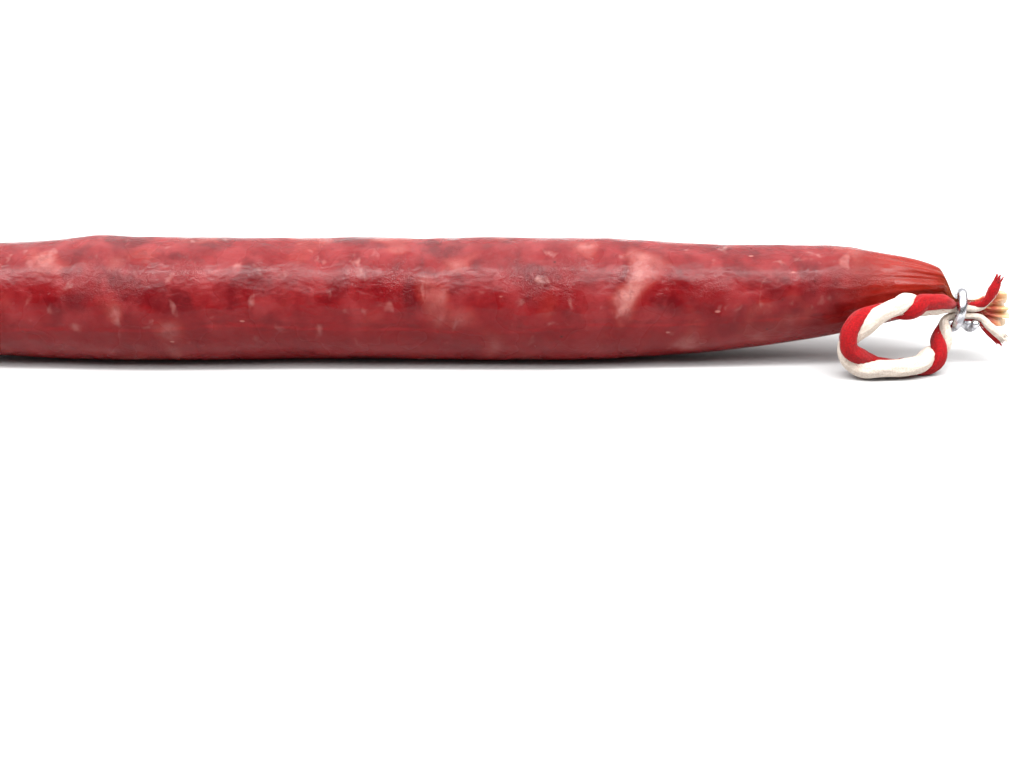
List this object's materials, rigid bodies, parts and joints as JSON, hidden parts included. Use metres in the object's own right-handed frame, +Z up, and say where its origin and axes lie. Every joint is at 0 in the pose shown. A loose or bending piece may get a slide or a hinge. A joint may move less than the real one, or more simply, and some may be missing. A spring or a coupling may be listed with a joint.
{
  "type": "cured sausage",
  "caption": "Slim cured sausage stick lying down, casing gathered and closed with wire clips at both ends, with a twine hanging loop at one end.",
  "frame": {"origin": "bottom centre of the sausage with its clips, on the surface it lies on, under the middle of its length", "axes": "+X along the sausage towards the end with the twine loop, +Y away from the side the loop lies on, +Z up"},
  "size_m": [0.219, 0.0235, 0.0201],
  "materials": {
    "casing": "semi-gloss translucent casing over marbled red meat and pale fat",
    "clip_metal": "bright drawn wire",
    "twine": "two-ply cotton, one ply red and one cream"
  },
  "bodies": {
    "root": {"sausage": "casing", "clip_tied_end": "clip_metal", "clip_plain_end": "clip_metal", "twine": "twine"}
  },
  "joints": []
}
